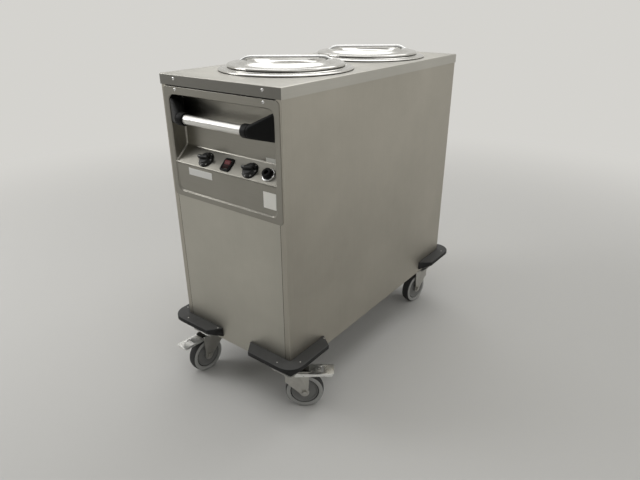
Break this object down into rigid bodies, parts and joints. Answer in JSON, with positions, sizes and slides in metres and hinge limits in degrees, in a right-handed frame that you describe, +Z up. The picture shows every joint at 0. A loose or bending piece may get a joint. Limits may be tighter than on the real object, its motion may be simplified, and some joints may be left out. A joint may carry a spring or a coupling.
{
  "type": "heated plate dispenser",
  "caption": "Mobile heated plate dispenser with two spring-levelling wells, lids, push handle, control console, corner bumpers and swivel castors.",
  "frame": {"origin": "on the floor below the middle of the top plate", "axes": "+Z up, -Y out of the instrument and handle end, +X to the right of someone facing that end"},
  "size_m": [0.5851, 1.1224, 1.0795],
  "materials": {
    "stainless_brushed": "brushed",
    "stainless_polished": "polished",
    "zinc_steel": "satin",
    "black_plastic": "matte",
    "charcoal_plastic": "matte",
    "grey_core": "matte",
    "grey_tyre": "matte",
    "black_rubber": "matte",
    "red_rocker": "gloss",
    "handle_steel": "satin",
    "galvanised": "matte"
  },
  "bodies": {
    "cabinet": {"chassis_frame": "galvanised", "base_pan": "galvanised", "side_panel_right": "stainless_brushed", "side_panel_left": "stainless_brushed", "lower_front_panel": "stainless_brushed", "rear_panel": "stainless_brushed", "control_panel": "stainless_brushed", "top_plate": "stainless_brushed", "collar_gaskets": "black_rubber", "collar_ring_front": "stainless_polished", "collar_ring_rear": "stainless_polished", "guide_tube_front": "galvanised", "guide_tube_rear": "galvanised", "heater_elements": "galvanised", "lift_springs_front": "zinc_steel", "lift_springs_rear": "zinc_steel", "terminal_box": "black_plastic", "handle_tube": "handle_steel", "handle_bracket_left": "black_plastic", "handle_bracket_right": "black_plastic", "thermostats": "black_plastic", "rocker_housing": "black_plastic", "cable_gland": "black_plastic", "bumper_front_left": "charcoal_plastic", "bumper_front_right": "charcoal_plastic", "bumper_rear_left": "charcoal_plastic", "bumper_rear_right": "charcoal_plastic", "castor_plates": "zinc_steel", "end_screws": "zinc_steel"},
    "castor_front_right": {"castor_fork_front_right": "zinc_steel", "axle_bolt_front_right": "zinc_steel"},
    "wheel_front_right": {"wheel_core_front_right": "grey_core", "tyre_front_right": "grey_tyre"},
    "pedal_front_right": {"brake_pedal_front_right": "zinc_steel"},
    "castor_front_left": {"castor_fork_front_left": "zinc_steel", "axle_bolt_front_left": "zinc_steel"},
    "wheel_front_left": {"wheel_core_front_left": "grey_core", "tyre_front_left": "grey_tyre"},
    "pedal_front_left": {"brake_pedal_front_left": "zinc_steel"},
    "castor_rear_right": {"castor_fork_rear_right": "zinc_steel", "axle_bolt_rear_right": "zinc_steel"},
    "wheel_rear_right": {"wheel_core_rear_right": "grey_core", "tyre_rear_right": "grey_tyre"},
    "castor_rear_left": {"castor_fork_rear_left": "zinc_steel", "axle_bolt_rear_left": "zinc_steel"},
    "wheel_rear_left": {"wheel_core_rear_left": "grey_core", "tyre_rear_left": "grey_tyre"},
    "knob_left": {"knob_left": "black_plastic", "knob_spindle_left": "zinc_steel"},
    "knob_right": {"knob_right": "black_plastic", "knob_spindle_right": "zinc_steel"},
    "rocker": {"rocker_switch": "red_rocker"},
    "platform_front": {"plate_platform_front": "stainless_brushed", "carriage_front": "galvanised"},
    "lid_front": {"lid_shell_front": "stainless_polished", "lid_handle_front": "stainless_polished"},
    "platform_rear": {"plate_platform_rear": "stainless_brushed", "carriage_rear": "galvanised"},
    "lid_rear": {"lid_shell_rear": "stainless_polished", "lid_handle_rear": "stainless_polished"}
  },
  "joints": [
    {"name": "swivel_front_right", "type": "hinge", "parent": "cabinet", "child": "castor_front_right", "pos_m": [0.186, -0.441, 0.1491], "axis": [0, 0, 1], "continuous": true},
    {"name": "spin_front_right", "type": "hinge", "parent": "castor_front_right", "child": "wheel_front_right", "pos_m": [0.2191, -0.41514, 0.0625], "axis": [-0.6157, 0.788, 0], "continuous": true},
    {"name": "brake_front_right", "type": "hinge", "parent": "castor_front_right", "child": "pedal_front_right", "pos_m": [0.19861, -0.43115, 0.1351], "axis": [-0.6157, 0.788, 0], "range_deg": [0, 8]},
    {"name": "swivel_front_left", "type": "hinge", "parent": "cabinet", "child": "castor_front_left", "pos_m": [-0.186, -0.441, 0.1491], "axis": [0, 0, 1], "continuous": true},
    {"name": "spin_front_left", "type": "hinge", "parent": "castor_front_left", "child": "wheel_front_left", "pos_m": [-0.18893, -0.4829, 0.0625], "axis": [0.9976, -0.0698, 0], "continuous": true},
    {"name": "brake_front_left", "type": "hinge", "parent": "castor_front_left", "child": "pedal_front_left", "pos_m": [-0.18712, -0.45696, 0.1351], "axis": [0.9976, -0.0698, 0], "range_deg": [0, 8]},
    {"name": "swivel_rear_right", "type": "hinge", "parent": "cabinet", "child": "castor_rear_right", "pos_m": [0.186, 0.441, 0.1491], "axis": [0, 0, 1], "continuous": true},
    {"name": "spin_rear_right", "type": "hinge", "parent": "castor_rear_right", "child": "wheel_rear_right", "pos_m": [0.18088, 0.39931, 0.0625], "axis": [0.9925, -0.1219, 0], "continuous": true},
    {"name": "swivel_rear_left", "type": "hinge", "parent": "cabinet", "child": "castor_rear_left", "pos_m": [-0.186, 0.441, 0.1491], "axis": [0, 0, 1], "continuous": true},
    {"name": "spin_rear_left", "type": "hinge", "parent": "castor_rear_left", "child": "wheel_rear_left", "pos_m": [-0.165, 0.40463, 0.0625], "axis": [0.866, 0.5, 0], "continuous": true},
    {"name": "turn_knob_left", "type": "hinge", "parent": "cabinet", "child": "knob_left", "pos_m": [-0.09, -0.47712, 0.80053], "axis": [0, 0.6564, -0.7544], "range_deg": [0, 270]},
    {"name": "turn_knob_right", "type": "hinge", "parent": "cabinet", "child": "knob_right", "pos_m": [0.09, -0.47712, 0.80053], "axis": [0, 0.6564, -0.7544], "range_deg": [0, 270]},
    {"name": "tip_rocker", "type": "hinge", "parent": "cabinet", "child": "rocker", "pos_m": [0, -0.47712, 0.80053], "axis": [-1, 0, 0], "range_deg": [0, 16]},
    {"name": "sink_platform_front", "type": "slide", "parent": "cabinet", "child": "platform_front", "axis": [0, 0, -1], "range_m": [0, 0.5], "stiffness_N_per_m": 700, "springref_m": -0.06, "deforming": ["lift_springs_front"]},
    {"name": "lift_lid_front", "type": "slide", "parent": "cabinet", "child": "lid_front", "axis": [0, 0, 1], "range_m": [0, 0.35]},
    {"name": "sink_platform_rear", "type": "slide", "parent": "cabinet", "child": "platform_rear", "axis": [0, 0, -1], "range_m": [0, 0.5], "stiffness_N_per_m": 700, "springref_m": -0.06, "deforming": ["lift_springs_rear"]},
    {"name": "lift_lid_rear", "type": "slide", "parent": "cabinet", "child": "lid_rear", "axis": [0, 0, 1], "range_m": [0, 0.35]}
  ]
}
